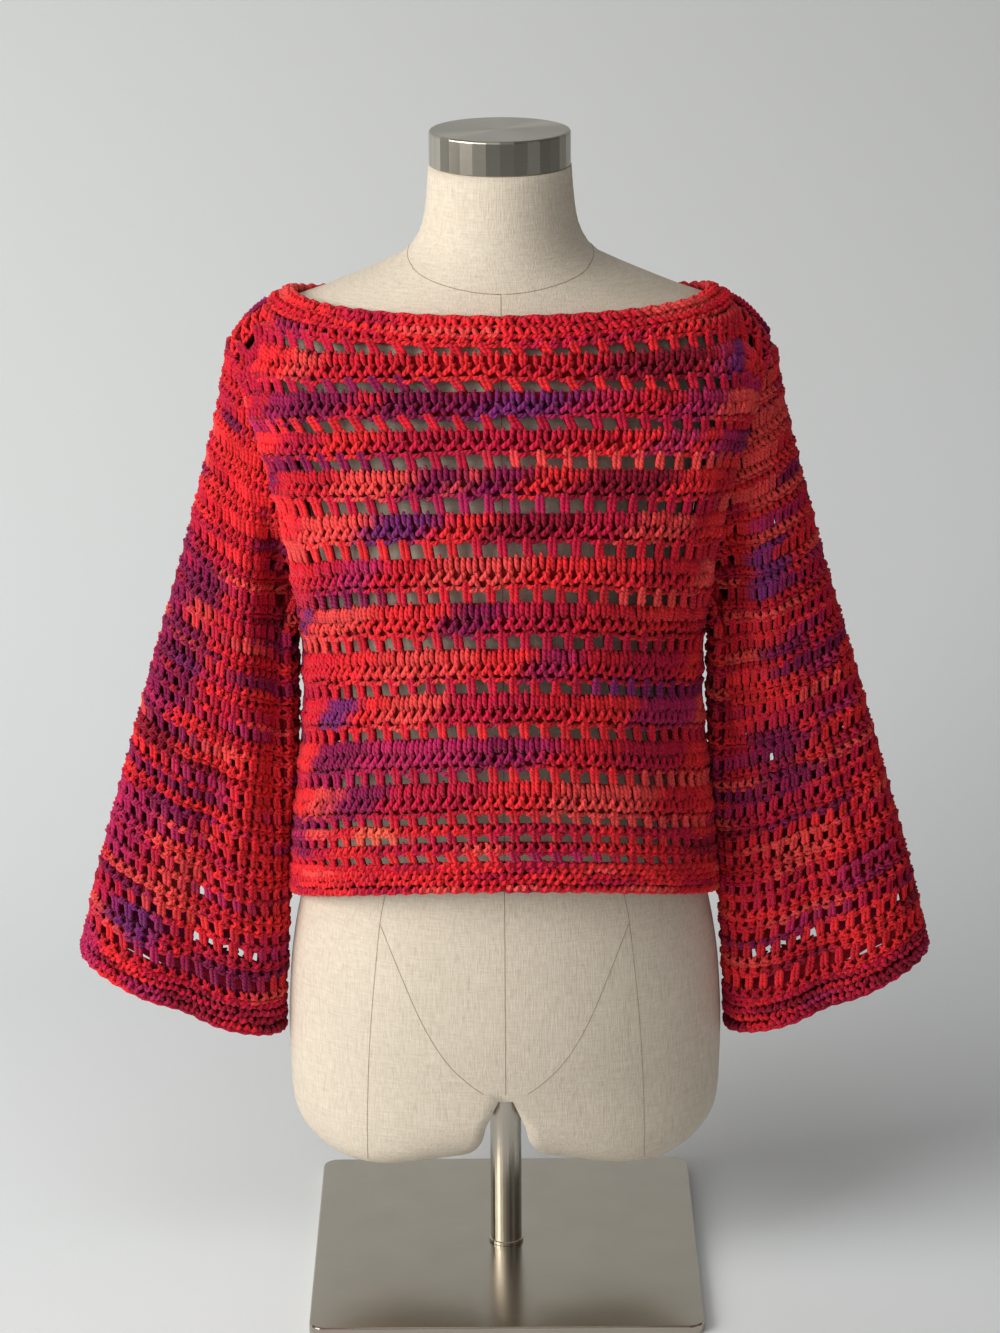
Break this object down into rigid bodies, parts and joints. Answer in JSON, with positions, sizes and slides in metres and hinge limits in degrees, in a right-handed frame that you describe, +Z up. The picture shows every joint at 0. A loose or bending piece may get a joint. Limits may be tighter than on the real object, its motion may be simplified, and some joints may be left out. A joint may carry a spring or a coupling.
{
  "type": "crochet sweater on dress form",
  "caption": "Cropped openwork crochet sweater with a boat neck and wide bell sleeves, worn by a limbless linen dress form on a pole and a square steel base.",
  "frame": {"origin": "centre of the underside of the square base plate", "axes": "+Z up along the pole, +X to the viewer's right, and the sweater's front faces -Y"},
  "size_m": [0.652, 0.3, 0.8923],
  "materials": {
    "yarn": "space-dyed wool yarn, crocheted, matt",
    "edging": "the same yarn in dense edging rows, matt",
    "linen": "undyed linen cover, matt",
    "steel": "brushed, satin",
    "steel_plate": "brushed, darker, satin"
  },
  "bodies": {
    "root": {"base_plate": "steel_plate", "pole": "steel", "dress_form": "linen", "neck_cap": "steel", "front": "yarn", "back": "yarn", "neck_band": "edging", "hem_band": "edging", "sleeve_left": "yarn", "cuff_left": "edging", "sleeve_right": "yarn", "cuff_right": "edging"}
  },
  "joints": []
}
